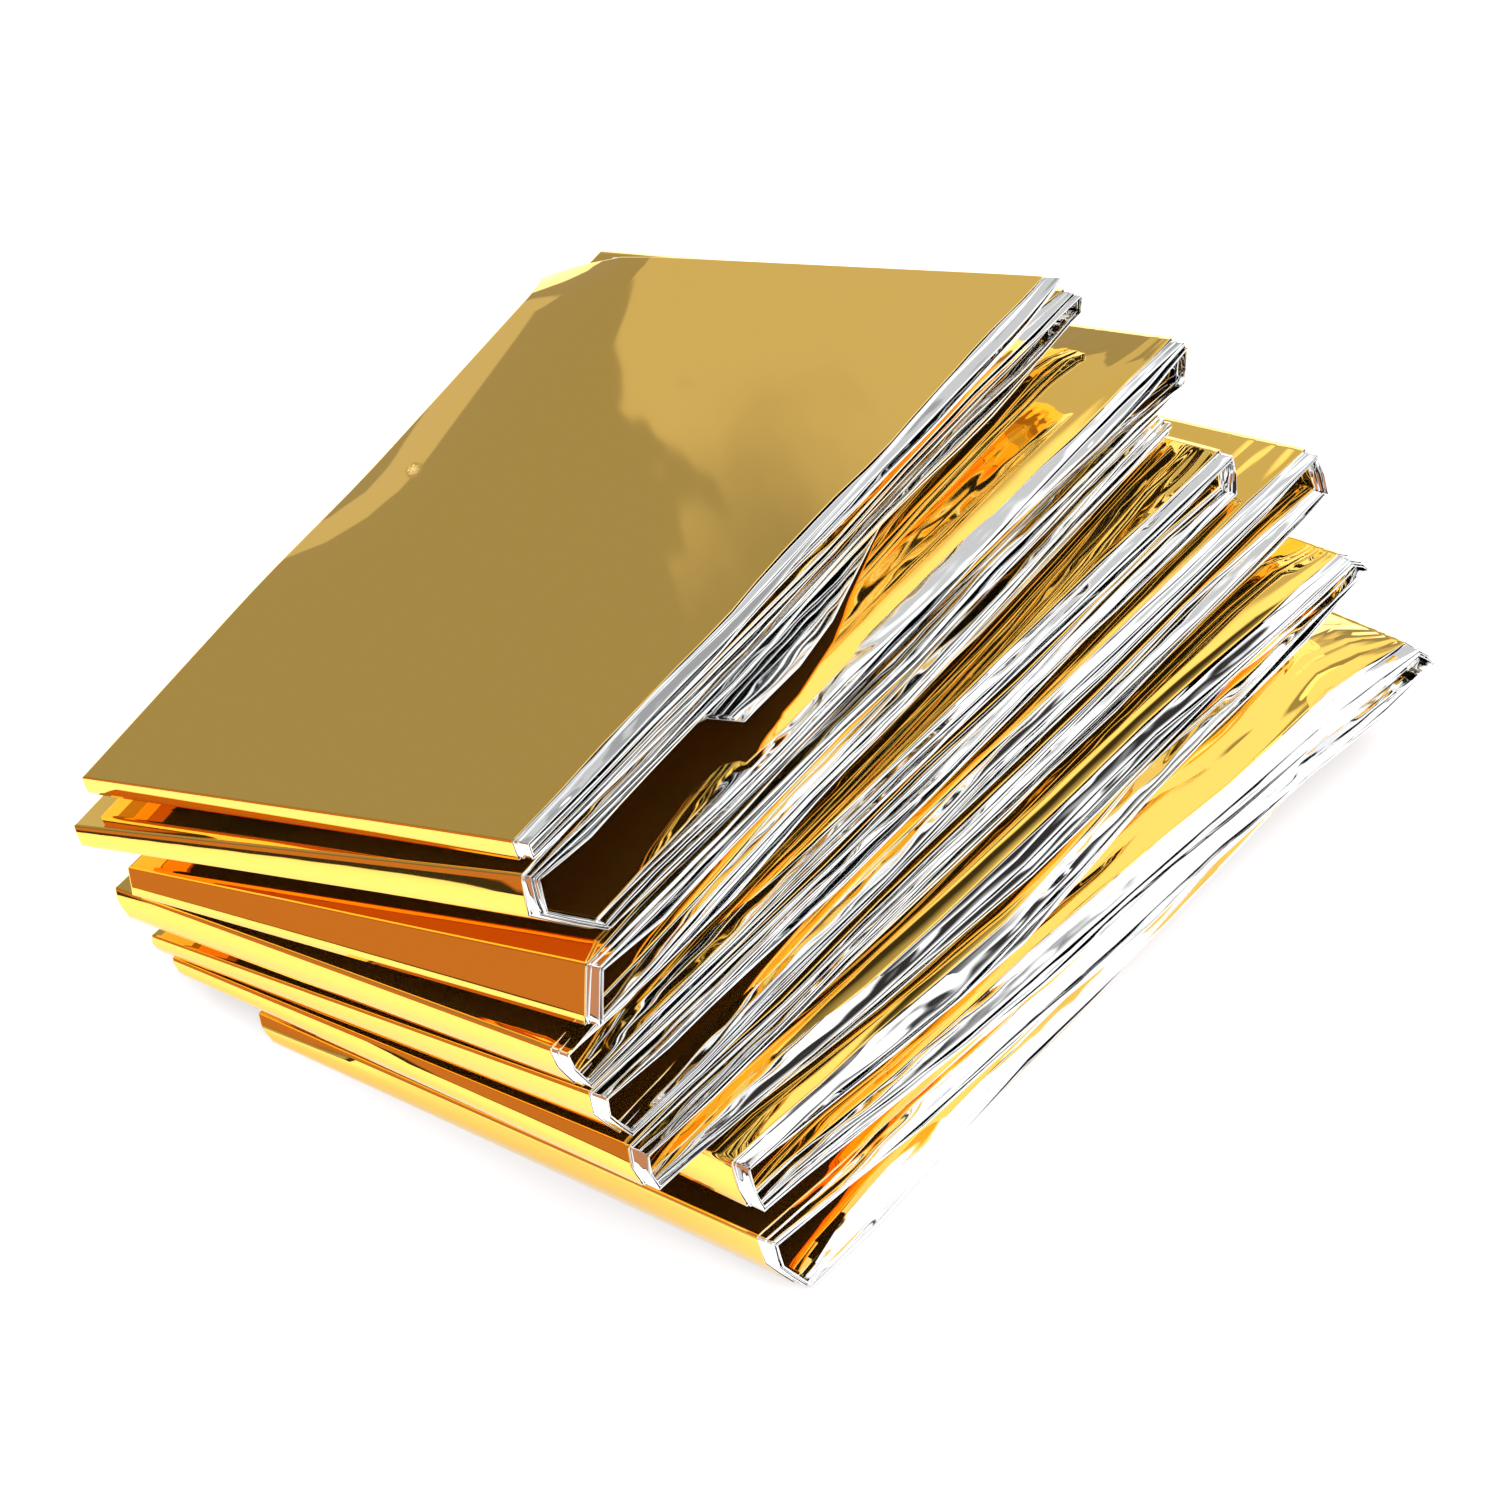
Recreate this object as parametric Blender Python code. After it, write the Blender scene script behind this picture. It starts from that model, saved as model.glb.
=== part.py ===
"""Emergency foil blanket, folded and loosened: one metallised film, pleated lengthwise into a narrow
strip of many plies, then folded back and forth into sixteen panels that fan open on one side.

Frame: X runs across a panel, +X being the open side where the pleat edges show. Y runs along a panel,
the near folds at -Y and the back folds at +Y. Z is up. The blanket rests on its lowest panel.
"""
import math

import bmesh
import bpy
from mathutils import Vector

MM = 0.001

# The flat sheet's width, the plies it is pleated into and what the pleats' turns take up, in millimetres.
SHEET_WIDTH = 1400.0
PLIES = 18
PLEAT_TURN = 1.2
PANEL_WIDTH = SHEET_WIDTH / PLIES - PLEAT_TURN

# The strip of plies as it lies in the fold.
STRIP_THICKNESS = 1.0
PANEL_PITCH = 1.45
FOLD_REACH = 0.5
WIDE_FOLD_REACH = 0.22
HANDLE_PER_REACH = 4.0 / 3.0

# The corner of the top panel's free end, spread out and bent down on the closed side.
BENT_CORNER_WIDTH = 10.0
BENT_CORNER_SPREAD = 3.0
BENT_CORNER_LENGTH = 2.3
BENT_CORNER_DROP = 3.6

# Mesh steps.
COLUMNS = 9
STATIONS_PER_PANEL = 6
STATIONS_PER_FOLD = 6

FILM_COLOUR = (0.66, 0.45, 0.12, 1.0)
FILM_ROUGHNESS = 0.12
FILM_METALLIC = 1.0

# One row for each panel from the top down, in millimetres. The folds run a little askew, so a panel has
# one length on the open side and another on the closed side; each adds up to the 2.10 m sheet.
# near_x and near_y place its near corner on the open side, left_y its near corner on the closed side,
# and far_x its back corner on the open side. The four heights are the middle of the strip at those
# corners: near open, near closed, back open, back closed. The folds reach as far as the corners do.
PANEL_COLUMNS = ("length", "left_length", "near_x", "near_y", "left_y", "far_x",
                 "z_near", "z_left", "z_far", "z_back")
CORNER_HEIGHTS = PANEL_COLUMNS[6:]
PANELS = (
    (125.5, 114.3, 2.5, 0.0, 4.5, -2.0, 55.0, 24.5, 52.0, 29.0),
    (131.5, 125.0, 3.0, 0.5, 4.0, -3.0, 53.5, 23.0, 44.5, 21.5),
    (131.9, 129.5, 4.0, -1.5, -1.5, -2.5, 52.0, 21.8, 42.5, 19.5),
    (132.7, 133.5, 11.0, -1.0, -1.5, 13.0, 44.0, 20.2, 42.5, 20.8),
    (132.2, 133.0, 13.5, -2.0, 1.0, 14.5, 43.0, 17.6, 38.5, 19.2),
    (130.0, 131.5, 16.0, -5.5, 0.0, 16.0, 39.0, 16.0, 37.0, 17.8),
    (131.5, 132.5, 13.0, -8.5, -0.5, 16.0, 34.0, 13.6, 35.5, 16.3),
    (131.9, 133.0, 16.0, -8.5, -1.5, 26.0, 31.0, 12.0, 36.5, 17.4),
    (127.0, 131.5, 18.5, -8.5, -1.0, 28.5, 30.0, 8.2, 34.5, 16.0),
    (138.5, 137.5, 20.5, -6.5, -1.0, 34.5, 23.5, 6.8, 35.0, 16.5),
    (136.0, 136.0, 23.0, -7.5, -1.0, 38.0, 22.0, 5.8, 33.0, 15.2),
    (131.0, 133.5, 25.5, -9.0, -1.0, 45.5, 20.0, 4.4, 30.0, 14.4),
    (127.5, 130.5, 32.5, -1.0, 4.5, 45.5, 20.0, 4.6, 25.0, 11.8),
    (129.8, 131.5, 36.0, -2.5, 5.0, 53.5, 16.5, 3.6, 13.5, 7.6),
    (131.5, 134.5, 37.0, -1.0, 0.0, 54.8, 9.0, 2.1, 10.5, 4.2),
    (131.5, 132.7, 40.0, 2.0, -1.0, 48.5, 0.5, 0.5, 0.5, 0.5),
)


def span(length, *parts):
    """The remaining side of a box whose diagonal is length and whose other sides are parts."""
    return math.sqrt(length * length - sum(part * part for part in parts))


def panel_corners(row):
    """The four corners of a panel that keeps its width and length, however it is tipped."""
    near = Vector((row["near_x"], row["near_y"], row["z_near"]))
    across = span(PANEL_WIDTH, row["left_y"] - row["near_y"], row["z_left"] - row["z_near"])
    left = Vector((row["near_x"] - across, row["left_y"], row["z_left"]))
    along = span(row["length"], row["far_x"] - row["near_x"], row["z_far"] - row["z_near"])
    far = Vector((row["far_x"], row["near_y"] + along, row["z_far"]))
    across = span(PANEL_WIDTH, row["z_back"] - row["z_far"])
    back_x = row["far_x"] - across
    along = span(row["left_length"], back_x - left.x, row["z_back"] - row["z_left"])
    back = Vector((back_x, row["left_y"] + along, row["z_back"]))
    return near, left, far, back


def panel_line(corners, v):
    """The points across a panel at a fraction v of the way from its near edge to its back edge."""
    near, left, far, back = corners
    start = near.lerp(far, v)
    end = left.lerp(back, v)
    return [start.lerp(end, column / (COLUMNS - 1)) for column in range(COLUMNS)]


def height_over(corners, x, y):
    """The height of a panel's middle surface, carried on past its edges, over a point of the floor."""
    near, left, far, back = corners
    u = v = 0.5
    for _ in range(8):
        point = near.lerp(far, v).lerp(left.lerp(back, v), u)
        du = left.lerp(back, v) - near.lerp(far, v)
        dv = far.lerp(back, u) - near.lerp(left, u)
        area = du.x * dv.y - du.y * dv.x
        dx, dy = x - point.x, y - point.y
        u += (dx * dv.y - dy * dv.x) / area
        v += (dy * du.x - dx * du.y) / area
    return near.lerp(far, v).lerp(left.lerp(back, v), u).z


def clear_height(corner, below):
    """The least height of a corner that keeps the pitch, square to the panel below it."""
    here = height_over(below, corner.x, corner.y)
    slope_x = height_over(below, corner.x + 1, corner.y) - here
    slope_y = height_over(below, corner.x, corner.y + 1) - here
    return here + PANEL_PITCH * math.sqrt(1 + slope_x ** 2 + slope_y ** 2)


def stacked_corners():
    """Every panel's corners, each panel lifted where it would press into the one below it."""
    stack = []
    for values in reversed(PANELS):
        row = dict(zip(PANEL_COLUMNS, values))
        corners = panel_corners(row)
        if stack:
            for key, corner in zip(CORNER_HEIGHTS, corners):
                row[key] = max(row[key], clear_height(corner, stack[-1]))
            corners = panel_corners(row)
        stack.append(corners)
    return stack[::-1]


def bezier(start, start_handle, end_handle, end, t):
    s = 1.0 - t
    return (start * s ** 3 + start_handle * (3 * s * s * t)
            + end_handle * (3 * s * t * t) + end * t ** 3)


def fold_reach(opening):
    """How far a fold stands out past its panels: half round when tight, flatter as it opens."""
    return FOLD_REACH * PANEL_PITCH + WIDE_FOLD_REACH * max(0.0, opening - PANEL_PITCH)


def even_up(edge, inner, other):
    """Carry a panel's edge on along the panel until it stands out as far as the other edge of its fold."""
    evened = []
    for point, inside, facing in zip(edge, inner, other):
        outward = (point - inside).normalized()
        evened.append(point + outward * max(0.0, (facing - point).dot(outward)))
    return evened


def fold_lines(upper, lower, upper_inner, lower_inner):
    """The stations of one turn between the edge of a panel and the edge of the next one down."""
    lines = []
    for step in range(1, STATIONS_PER_FOLD):
        t = step / STATIONS_PER_FOLD
        line = []
        for a, b, a_in, b_in in zip(upper, lower, upper_inner, lower_inner):
            handle = fold_reach((a - b).length) * HANDLE_PER_REACH
            a_out = a + (a - a_in).normalized() * handle
            b_out = b + (b - b_in).normalized() * handle
            line.append(bezier(a, a_out, b_out, b, t))
        lines.append(line)
    return lines


def strip_centre():
    """The middle surface of the strip, as a list of lines across it from one end to the other."""
    lines = []
    last = STATIONS_PER_PANEL - 1
    for index, corners in enumerate(stacked_corners()):
        near, left, far, back = corners
        trim = (fold_reach(PANEL_PITCH) + STRIP_THICKNESS / 2) / (far - near).length
        steps = [trim + (1 - 2 * trim) * i / last for i in range(STATIONS_PER_PANEL)]
        if index % 2 == 0:
            steps.reverse()
        panel = [panel_line(corners, v) for v in steps]
        if index > 0:
            upper, lower = lines[-1], panel[0]
            lines[-1] = even_up(upper, lines[-2], lower)
            panel[0] = even_up(lower, panel[1], upper)
            lines += fold_lines(lines[-1], panel[0], lines[-2], panel[1])
        lines += panel
    bend_corner(lines[0])
    return lines


def bend_corner(line):
    """Spread the closed-side end of the top panel's back edge and bend it down."""
    for column, point in enumerate(line):
        from_left = PANEL_WIDTH * (1 - column / (COLUMNS - 1))
        bent = max(0.0, 1 - from_left / BENT_CORNER_WIDTH)
        point.x -= BENT_CORNER_SPREAD * bent
        point.y -= BENT_CORNER_LENGTH * bent
        point.z -= BENT_CORNER_DROP * bent


def surface_normal(lines, station, column):
    before = lines[max(station - 1, 0)][column]
    after = lines[min(station + 1, len(lines) - 1)][column]
    right = lines[station][max(column - 1, 0)]
    left = lines[station][min(column + 1, COLUMNS - 1)]
    return (left - right).cross(after - before).normalized()


def offset_surfaces(lines):
    """The two faces of the strip, half its thickness to either side of its middle."""
    half = STRIP_THICKNESS / 2
    upper, lower = [], []
    for station, line in enumerate(lines):
        normals = [surface_normal(lines, station, column) for column in range(COLUMNS)]
        upper.append([point + normal * half for point, normal in zip(line, normals)])
        lower.append([point - normal * half for point, normal in zip(line, normals)])
    return upper, lower


def centred(surfaces):
    """Move the blanket so that the middle of its footprint is the origin and it stands on Z = 0."""
    points = [point for surface in surfaces for line in surface for point in line]
    low = Vector([min(point[axis] for point in points) for axis in range(3)])
    high = Vector([max(point[axis] for point in points) for axis in range(3)])
    shift = Vector(((low.x + high.x) / 2, (low.y + high.y) / 2, low.z))
    return [[[(point - shift) * MM for point in line] for line in surface] for surface in surfaces]


def skin(mesh, near_side, far_side, flip):
    for a, b, c, d in zip(near_side, near_side[1:], far_side[1:], far_side):
        corners = (a, d, c, b) if flip else (a, b, c, d)
        mesh.faces.new(corners)


def build_strip(name):
    upper, lower = centred(offset_surfaces(strip_centre()))
    mesh = bmesh.new()
    top = [[mesh.verts.new(point) for point in line] for line in upper]
    bottom = [[mesh.verts.new(point) for point in line] for line in lower]
    for station in range(len(top) - 1):
        skin(mesh, top[station], top[station + 1], False)
        skin(mesh, bottom[station], bottom[station + 1], True)
    for side in (0, -1):
        skin(mesh, [line[side] for line in top], [line[side] for line in bottom], side == -1)
    for end in (0, -1):
        skin(mesh, top[end], bottom[end], end == 0)
    bmesh.ops.triangulate(mesh, faces=mesh.faces[:])
    data = bpy.data.meshes.new(name)
    mesh.to_mesh(data)
    mesh.free()
    data.shade_smooth()
    data.set_sharp_from_angle(angle=math.radians(40))
    strip = bpy.data.objects.new(name, data)
    bpy.context.scene.collection.objects.link(strip)
    return strip


def film_material():
    material = bpy.data.materials.new("metallised_film")
    material.use_nodes = True
    shader = material.node_tree.nodes["Principled BSDF"]
    shader.inputs["Base Color"].default_value = FILM_COLOUR
    shader.inputs["Roughness"].default_value = FILM_ROUGHNESS
    shader.inputs["Metallic"].default_value = FILM_METALLIC
    return material


def clear_scene():
    for item in list(bpy.data.objects):
        bpy.data.objects.remove(item, do_unlink=True)


def main():
    clear_scene()
    strip = build_strip("foil_blanket")
    strip.data.materials.append(film_material())


main()
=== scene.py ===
"""Emergency foil blanket, folded and loosened: one metallised film, gold on one face and silver on the
other, pleated lengthwise into a strip of plies and folded back and forth into panels that fan open.
"""
import math

import bpy
import numpy as np
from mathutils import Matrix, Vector


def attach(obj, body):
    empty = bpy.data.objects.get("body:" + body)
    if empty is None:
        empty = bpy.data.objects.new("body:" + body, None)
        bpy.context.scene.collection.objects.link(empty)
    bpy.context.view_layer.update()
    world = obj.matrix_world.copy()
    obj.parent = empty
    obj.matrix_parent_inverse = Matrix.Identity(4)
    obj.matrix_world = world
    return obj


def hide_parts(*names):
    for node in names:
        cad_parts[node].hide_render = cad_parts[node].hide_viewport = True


bl_info = {
    "name": "Emergency foil blanket",
    "version": (1, 0, 0),
    "blender": (4, 5, 0),
    "location": "View3D > Sidebar > Foil blanket",
    "description": "Builds a folded emergency foil blanket and its studio",
    "category": "Object",
}

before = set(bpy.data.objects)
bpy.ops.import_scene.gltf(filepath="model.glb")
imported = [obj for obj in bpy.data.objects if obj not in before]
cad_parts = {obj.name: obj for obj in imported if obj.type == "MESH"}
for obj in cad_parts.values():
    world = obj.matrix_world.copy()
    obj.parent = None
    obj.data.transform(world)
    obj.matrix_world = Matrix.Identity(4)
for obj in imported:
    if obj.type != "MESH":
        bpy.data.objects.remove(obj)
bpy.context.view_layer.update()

MM = 0.001
FOLD_MARK = -1.0

# The flat sheet, in millimetres, and how it is pleated across.
SHEET_WIDTH = 1400.0
SHEET_LENGTH = 2100.0
PLIES = 18
PLEAT_TURN = 1.2

# The middle surface of the strip of plies, and where its frame lies in the blanket's own frame.
PANEL_PITCH = 1.2
FOLD_REACH = 0.3
WIDE_FOLD_REACH = 0.05
CREASE_WIDTH = 0.12
MITRE_LIMIT = 0.65
EDGE_TRIM = 1.225
FRAME_SHIFT = (-11.75, 63.17, 0.0)

# The corner of the top panel's free end, spread out and bent down on the closed side.
BENT_CORNER_WIDTH = 10.0
BENT_CORNER_SPREAD = 3.0
BENT_CORNER_LENGTH = 2.3
BENT_CORNER_DROP = 3.6
BENT_CORNER_POWER = 1.5

# The top panel's closed-side margin curls down: its width as a share of the panel's, its drop, and the
# shares of the panel's length between which it sets in.
CURL_WIDTH = 0.24
CURL_DROP = 1.5
CURL_START = 0.3
CURL_FULL = 0.6

# One row for each panel from the top down, in millimetres. The folds run a little askew, so a panel has
# one length on the open side and another on the closed side; with the folds, each side adds up to about
# the sheet's length.
# near_x and near_y place its near corner on the open side, left_y its near corner on the closed side,
# and far_x its back corner on the open side. The four heights are the middle of the strip at those
# corners: near open, near closed, back open, back closed. The folds reach as far as the corners do.
PANEL_COLUMNS = ("length", "left_length", "near_x", "near_y", "left_y", "far_x",
                 "z_near", "z_left", "z_far", "z_back")
CORNER_HEIGHTS = PANEL_COLUMNS[6:]
PANELS = (
    (125.5, 114.3, 2.5, 0.0, 3.2, -2.0, 55.0, 24.5, 52.0, 29.0),
    (131.5, 125.0, 3.0, 0.5, 2.7, -3.0, 53.5, 23.0, 44.5, 21.5),
    (131.9, 129.5, 4.0, -0.8, -1.5, -2.5, 51.4, 20.4, 42.5, 19.0),
    (129.7, 131.5, 11.0, 3.2, 1.2, 13.0, 44.0, 18.6, 42.5, 20.5),
    (132.2, 133.0, 13.5, -2.0, 0.2, 14.5, 43.0, 16.8, 38.5, 19.0),
    (130.0, 131.5, 16.0, -5.8, -2.5, 16.0, 39.0, 15.4, 37.0, 17.6),
    (131.5, 132.5, 13.0, -8.5, -1.8, 16.0, 34.0, 12.8, 35.5, 16.2),
    (131.9, 133.0, 16.0, -8.5, -2.8, 26.0, 31.0, 11.0, 36.5, 17.4),
    (127.0, 131.5, 18.5, -8.5, -2.3, 28.5, 30.0, 8.0, 34.5, 16.0),
    (138.5, 137.5, 20.5, -6.5, -2.3, 34.5, 23.5, 6.6, 35.0, 16.5),
    (136.0, 136.0, 23.0, -7.5, -2.3, 38.0, 22.0, 5.6, 33.0, 15.2),
    (131.0, 133.5, 25.5, -9.0, -2.3, 45.5, 20.0, 4.3, 30.0, 14.4),
    (127.5, 130.5, 32.5, -1.0, 3.2, 45.5, 20.0, 4.5, 25.0, 11.8),
    (129.8, 131.5, 36.0, -2.5, 3.7, 53.5, 16.5, 3.5, 13.5, 7.6),
    (131.5, 134.5, 37.0, -1.0, -1.3, 54.8, 9.0, 2.1, 10.5, 4.2),
    (131.5, 132.7, 40.0, 2.0, -2.3, 48.5, 0.5, 0.5, 0.5, 0.5),
)

# How far a fold may lean past square for each millimetre that it opens beyond the tight opening.
FOLD_LEAN = 0.8
TIGHT_OPENING = 1.6

# A second crease along each near fold, from the top down: its place down the fold, how far it stands out
# and how far the fold swells round it, all as shares of the fold's height. The back folds share one row.
NEAR_CREASES = ((0.5, 0.0, 0.12), (0.36, 0.3, 0.12), (0.7, 0.0, 0.02), (0.4, 0.08, 0.12),
                (0.35, 0.12, 0.12), (0.5, 0.1, 0.12), (0.6, 0.05, 0.12), (0.4, 0.1, 0.12))
BACK_SWELL = (0.5, 0.03, 0.12)
FOLD_EDGE = 0.05

# How the plies lie in the strip.
FILM_THICKNESS = 0.025
OUTER_GAP = 0.14
INNER_GAP = 0.045
CLOSED_THICKNESS = 2 * OUTER_GAP + (PLIES - 3) * INNER_GAP
PLEAT_SPREAD = 4.4
FOLD_THICKNESS = 1.1
THICKNESS_SHARE = 0.9
FOLD_SHARE = 0.8
# How far from its near fold each panel's pleats stay together before they fan out, from the top down.
TIGHT_LENGTHS = (14.0, 14.0, 12.0, 52.0, 14.0, 20.0, 14.0, 14.0,
                 12.0, 20.0, 14.0, 14.0, 14.0, 20.0, 30.0, 14.0)
LOOSE_FROM_BACK = 14.0

# Where the outermost plies billow into the wedge next to their panel: as shares of the free gap by place
# across, how quickly it dies away ply by ply, and the share of a panel's length that it starts at.
BILLOW_PLACES = (0.0, 0.03, 0.09, 0.25, 0.6, 1.0)
BILLOW_SHARES = (0.25, 0.65, 1.0, 0.85, 0.3, 0.0)
BILLOW_PLIES = 2.0
BILLOW_ABOVE = 0.8
BILLOW_BELOW = 0.1
BILLOW_START = 0.24
BILLOW_FULL = 0.36
# The very outermost ply also has a ridge: its middle and reach across, and its height as a share.
BILLOW_RIDGE = (0.07, 0.03, 0.2)

# The lowest ply of the panel over the widest gap hangs out of it as a flap, and the panel below ruffles,
# with shares of its own at INNER_PLACES and a ridge of its own.
HANGING_PANEL = 2
FLAP_START = 0.28
FLAP_STEP = 0.012
FLAP_END = 0.68
FLAP_TAPER = 0.3
FLAP_WIDTH = 6.0
FLAP_DROP = 1.5
FLAP_FADE = 4.0
RUFFLE_START = 0.3
RUFFLE_SHARES = (0.0, 0.0, 0.0, 0.3, 1.0, 0.0)
RUFFLE_RIDGE = (0.13, 0.03, 0.3)

# The open edge of the lower panels bows outwards and sags: by how much, in millimetres, and where along.
BOWED_PANELS = {11: (1.0, 1.0), 12: (2.0, 2.0)}
BOW_MIDDLE = 0.38
BOW_REACH = 0.28

# How crumpled the lowest panels are, the uppermost ply of the widest wedge, and every panel's far end.
CRUMPLED_PANELS = {13: 0.12, 14: 0.12, 15: 0.15}
CRUMPLED_TOP_PANEL = 13
CRUMPLED_TOP = 1.0
CRUMPLED_END = 0.5
# Where that sets in along a panel and where it is full, and how quickly it dies away across it.
CRUMPLED_FROM = (0.2, 0.5)
CRUMPLED_FADE = 3.0
CRUMPLED_END_FROM = (0.92, 0.98)
CRUMPLED_END_FADE = 8.0

# Mesh steps: places across an outer ply and an inner one, from the open side to the closed side, steps
# round a pleat's turn, and lines across each panel.
OUTER_PLACES = (0.0, 0.003, 0.015, 0.03, 0.05, 0.07, 0.09, 0.13, 0.2,
                0.32, 0.46, 0.6, 0.72, 0.8, 0.87, 0.94, 0.998, 1.0)
INNER_PLACES = (0.0, 0.004, 0.03, 0.09, 0.28, 1.0)
FLARE_ABOVE = (0.25, 0.3, 0.66, 0.72, 0.28, 0.0)
FLARE_BELOW = (1.0, 0.98, 0.88, 0.62, 0.25, 0.0)
OPEN_TURN_STEPS = 3
CLOSED_TURN_STEPS = 2
PANEL_STATIONS = (26, 9, 18, 18) + 7 * (9,) + (13, 13, 13, 9, 9)
END_STATION = 0.001

# A shell of film has two triangles for each face of each side, and a piece may have so many in all.
TRIANGLE_LIMIT = 200000

# The metal of the two faces. A streak is a count for each metre across and a depth in millimetres, and a
# crinkle is a depth in millimetres.
GOLD = (0.98, 0.62, 0.122)
SILVER = (0.94, 0.945, 0.95)
GOLD_FINISH = {"metal": 0.99, "roughness": 0.025, "streak": (75.0, 1.1), "crinkle": 0.05}
SILVER_FINISH = {"metal": 1.0, "roughness": 0.05, "streak": (100.0, 1.6), "crinkle": 0.32}
# Counts for each metre across and along the flat sheet, with a depth where both faces have the same.
SOFT_WAVES = ((14.0, 9.0), 0.3)
STREAKS_ALONG = 7.0
CRINKLE_COUNTS = (400.0, 90.0)
CRUMPLES = ((260.0, 30.0), 3.6)

# The room that the film mirrors: the brightness of each part, and the soft edges where it starts and ends.
# An edge is the pair of values that it fades between: degrees of turn from straight behind, degrees of
# rise, or, for the sides of the room, a share of the way towards them.
DARK_ROOM = (0.035, 0.03, 0.028)
BACK_WALL = 0.38
BACK_FROM = (-0.35, 0.05)
BACK_WALL_TOP = (49.0, 53.0)
WINDOW = 0.26
WINDOW_LEFT = (-51.2, -51.0)
WINDOW_RIGHT = (0.0, 20.0)
WINDOW_SILL = (12.5, 15.5)
RAGGED_GRAIN = 18.0
RAGGED_REACH = 7.0
RAGGED_DETAIL = 3.0
SHELF = 0.64
SHELF_END = (-54.0, -53.0)
SHELF_RISE = ((3.2, 3.6), (7.3, 7.7))
GLOW = 0.7
GLOW_FROM = (34.0, 40.0)
SIDE_WALL = 1.25
SIDE_FROM = (-0.3, 0.15)
SIDE_RISE = ((4.0, 14.0), (64.0, 74.0))
FRONT_CARD = (0.6, 0.25, 0.11)
CARD_TURN = ((-152.0, -148.0), (-106.0, -98.0))
FRONT_WALL = 0.7
FRONT_FROM = (100.0, 110.0)
FRONT_RISE = ((1.0, 2.5), (56.0, 64.0))

# The floor's pale paper and the softbox overhead, in metres and watts.
FLOOR_PAPER = (0.9, 0.9, 0.9)
FLOOR_ROUGHNESS = 0.9
FLOOR_SIZE = 6.0
SOFTBOX_SIZE = 7.0
SOFTBOX_HEIGHT = 3.0
SOFTBOX_POWER = 250.0

# The camera: its lens and sensor in millimetres, its turn and rise in degrees, and its distance and aim
# in metres.
CAMERA_LENS = 116.7
CAMERA_SENSOR = 36.0
CAMERA_TURN = 33.754
CAMERA_RISE = 44.553
CAMERA_DISTANCE = 0.61455
CAMERA_TARGET = (0.0067, -0.0051, 0.0191)

# Pinched dents in the top panel: where across and along the flat sheet, their size and depth. Then their
# turn in degrees, and the grain of their ridges.
PINCHES = ((67.6, 53.2, 1.4, 2.6, 0.4),)
PINCH_TURN = 35.0
PINCH_GRAIN = 3.0

# How far the pleats stand out of line on the open side, and how far the hidden ones stay back behind the
# outer two on the closed side, in millimetres.
PLEAT_STAGGER = 1.1
PLEAT_WANDER = 0.8
PLEAT_PITCH = 90.0
CLOSED_SET_BACK = 0.7
STAGGER = (-0.6, 0.9, -0.9, -0.2, 1.0, -0.7, 0.5, -0.8)
# The sheet's two cut edges stay back behind the pleats and wander over a pitch of their own.
HEM_SET_BACK = 1.3
HEM_WANDER = 0.5
HEM_PITCH = 55.0
# How quickly all that dies away across a ply, and the creases along the pleats with it.
EDGE_FADE = 9.0
CREASE_FADE = 14.0

# How the room of a loose strip is shared among the gaps between its plies: a share for each gap that a
# pleat's turn closes on the open side, one for every other slot that is open there, and one, which swings
# along the sheet, for the slots between.
TURN_GAP_SHARE = 0.85
TIGHT_SLOT_SHARE = 0.5
LOOSE_SLOT_SHARE = 1.5
LOOSE_SLOT_SWING = 1.1
LOOSE_SLOT_PITCH = 170.0
GAP_SWING = 0.25
GAP_PITCH = 60.0
LEAST_SHARE = 0.12

# The seeds of the wandering lines, one run of numbers for each kind.
HEM_SEED = 11
PLEAT_SEED = 20
SLOT_SEED = 40
GAP_SEED = 80
# What a wandering line is made of: the pitch and weight of each of its waves, as shares, and how far the
# pitch varies.
WAVE_PARTS = ((1.0, 0.5), (0.61, 0.3), (0.37, 0.2))
WAVE_VARIATION = (0.85, 1.15)

# How often the search for a point over a panel is refined.
HEIGHT_STEPS = 8


def wave(places, pitch, seed):
    """A smooth wandering line between about -1 and 1, with a rough pitch in millimetres."""
    pick = np.random.default_rng(seed)
    total = np.zeros_like(places)
    for stretch, weight in WAVE_PARTS:
        turn = 2 * math.pi * places / (pitch * stretch * pick.uniform(*WAVE_VARIATION))
        total += weight * np.sin(turn + pick.uniform(0, 2 * math.pi))
    return total


def unit(vectors):
    return vectors / np.linalg.norm(vectors, axis=-1, keepdims=True)


def span(length, *parts):
    """The remaining side of a box whose diagonal is length and whose other sides are parts."""
    return math.sqrt(length * length - sum(part * part for part in parts))


def panel_corners(row, width):
    """The four corners of a panel that keeps its width and length, however it is tipped."""
    near = Vector((row["near_x"], row["near_y"], row["z_near"]))
    across = span(width, row["left_y"] - row["near_y"], row["z_left"] - row["z_near"])
    left = Vector((row["near_x"] - across, row["left_y"], row["z_left"]))
    along = span(row["length"], row["far_x"] - row["near_x"], row["z_far"] - row["z_near"])
    far = Vector((row["far_x"], row["near_y"] + along, row["z_far"]))
    across = span(width, row["z_back"] - row["z_far"])
    back_x = row["far_x"] - across
    along = span(row["left_length"], back_x - left.x, row["z_back"] - row["z_left"])
    back = Vector((back_x, row["left_y"] + along, row["z_back"]))
    return near, left, far, back


def panel_point(corners, u, v):
    near, left, far, back = corners
    return near.lerp(far, v).lerp(left.lerp(back, v), u)


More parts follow.
